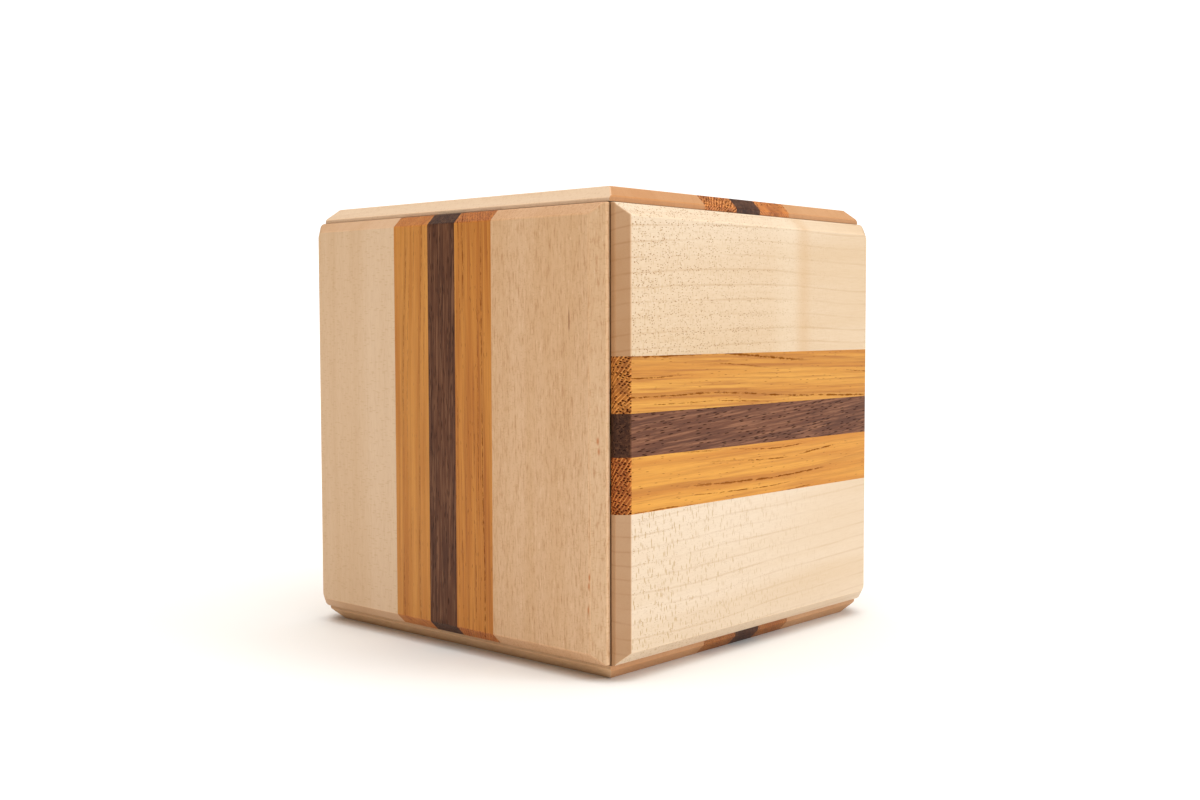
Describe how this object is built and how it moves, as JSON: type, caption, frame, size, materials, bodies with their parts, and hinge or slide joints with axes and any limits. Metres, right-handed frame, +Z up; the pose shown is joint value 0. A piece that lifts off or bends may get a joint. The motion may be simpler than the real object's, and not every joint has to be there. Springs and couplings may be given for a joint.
{
  "type": "puzzle box",
  "caption": "Cube puzzle box of striped wood whose bevelled panels slide on dovetail runners to free pins that lock a lift-out lid over a hollow core.",
  "frame": {"origin": "middle of the underside, on the surface the cube rests on", "axes": "+Z up, -Y out of the front panel (upright stripes), +X out of the right panel (level stripes)"},
  "size_m": [0.075, 0.075, 0.075],
  "materials": {
    "maple": "fine-grained pale maple, hand-rubbed satin oil",
    "teak": "golden-brown teak with long dark pore lines, satin oil",
    "walnut": "dark brown walnut with short near-black pores, satin oil",
    "core_wood": "planed pale core wood, unfinished",
    "runner_beech": "waxed beech",
    "pin_steel": "turned bright steel",
    "magnet_nickel": "nickel plated"
  },
  "bodies": {
    "carcass": {"front_wall": "core_wood", "back_wall": "core_wood", "left_wall": "core_wood", "right_wall": "core_wood", "base_board": "core_wood", "bottom_maple_front": "maple", "bottom_teak_front": "teak", "bottom_walnut": "walnut", "bottom_teak_back": "teak", "bottom_maple_back": "maple"},
    "front_panel": {"front_maple_left": "maple", "front_teak_left": "teak", "front_walnut": "walnut", "front_teak_right": "teak", "front_maple_right": "maple", "front_runner": "runner_beech", "front_magnet": "magnet_nickel"},
    "back_panel": {"back_maple_right": "maple", "back_teak_right": "teak", "back_walnut": "walnut", "back_teak_left": "teak", "back_maple_left": "maple", "back_runner": "runner_beech", "back_magnet": "magnet_nickel"},
    "left_panel": {"left_maple_upper": "maple", "left_teak_upper": "teak", "left_walnut": "walnut", "left_teak_lower": "teak", "left_maple_lower": "maple", "left_runner": "runner_beech", "left_magnet": "magnet_nickel"},
    "right_panel": {"right_maple_upper": "maple", "right_teak_upper": "teak", "right_walnut": "walnut", "right_teak_lower": "teak", "right_maple_lower": "maple", "right_runner": "runner_beech", "right_magnet": "magnet_nickel"},
    "lid": {"lid_board": "core_wood", "lid_cleat": "runner_beech", "front_strike": "runner_beech", "back_strike": "runner_beech", "left_strike": "runner_beech", "right_strike": "runner_beech"},
    "top_panel": {"top_maple_back": "maple", "top_teak_back": "teak", "top_walnut": "walnut", "top_teak_front": "teak", "top_maple_front": "maple", "top_runner": "runner_beech"},
    "front_pin": {"front_pin": "pin_steel"},
    "back_pin": {"back_pin": "pin_steel"},
    "left_pin": {"left_pin": "pin_steel"},
    "right_pin": {"right_pin": "pin_steel"}
  },
  "joints": [
    {"name": "front_panel_slide", "type": "slide", "parent": "carcass", "child": "front_panel", "axis": [0, 0, 1], "range_m": [0, 0.008]},
    {"name": "back_panel_slide", "type": "slide", "parent": "carcass", "child": "back_panel", "axis": [0, 0, 1], "range_m": [0, 0.008]},
    {"name": "left_panel_slide", "type": "slide", "parent": "carcass", "child": "left_panel", "axis": [0, -1, 0], "range_m": [0, 0.008]},
    {"name": "right_panel_slide", "type": "slide", "parent": "carcass", "child": "right_panel", "axis": [0, 1, 0], "range_m": [0, 0.008]},
    {"name": "lid_lift", "type": "slide", "parent": "carcass", "child": "lid", "axis": [0, 0, 1], "range_m": [0, 0.06]},
    {"name": "top_panel_slide", "type": "slide", "parent": "lid", "child": "top_panel", "axis": [1, 0, 0], "range_m": [0, 0.008]},
    {"name": "front_pin_slide", "type": "slide", "parent": "carcass", "child": "front_pin", "axis": [0, -1, 0], "range_m": [-0.0032, 0]},
    {"name": "back_pin_slide", "type": "slide", "parent": "carcass", "child": "back_pin", "axis": [0, 1, 0], "range_m": [-0.0032, 0]},
    {"name": "left_pin_slide", "type": "slide", "parent": "carcass", "child": "left_pin", "axis": [-1, 0, 0], "range_m": [-0.0032, 0]},
    {"name": "right_pin_slide", "type": "slide", "parent": "carcass", "child": "right_pin", "axis": [1, 0, 0], "range_m": [-0.0032, 0]}
  ]
}
